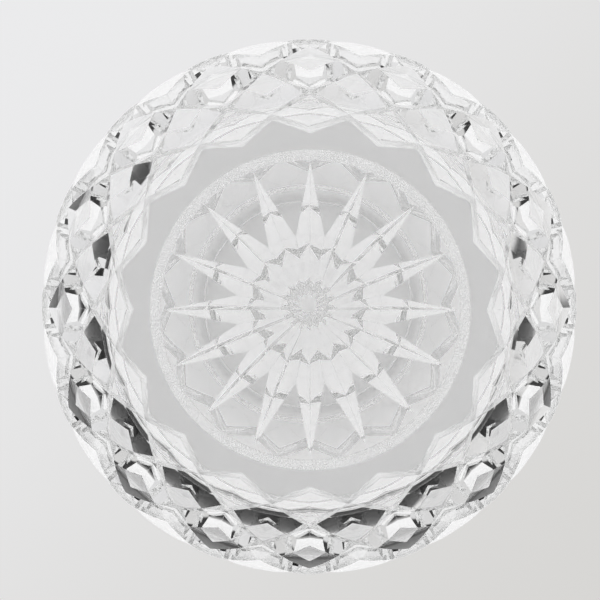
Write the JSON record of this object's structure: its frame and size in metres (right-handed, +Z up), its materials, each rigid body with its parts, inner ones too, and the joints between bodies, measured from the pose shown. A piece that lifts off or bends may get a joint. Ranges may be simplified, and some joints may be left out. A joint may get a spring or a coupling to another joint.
{
  "type": "cut crystal globe vase",
  "caption": "Clear cut crystal globe vase, or rose bowl, with a diamond lattice round the body and a many-rayed star under the foot.",
  "frame": {"origin": "centre of the ring that the vase stands on, in the plane of that ring", "axes": "+Z up the axis of the vase and out of the mouth; one ray of the star under the foot points along +Y"},
  "size_m": [0.17, 0.17, 0.15],
  "materials": {
    "lead_crystal": "polished"
  },
  "bodies": {
    "root": {"crystal_vase": "lead_crystal"}
  },
  "joints": []
}
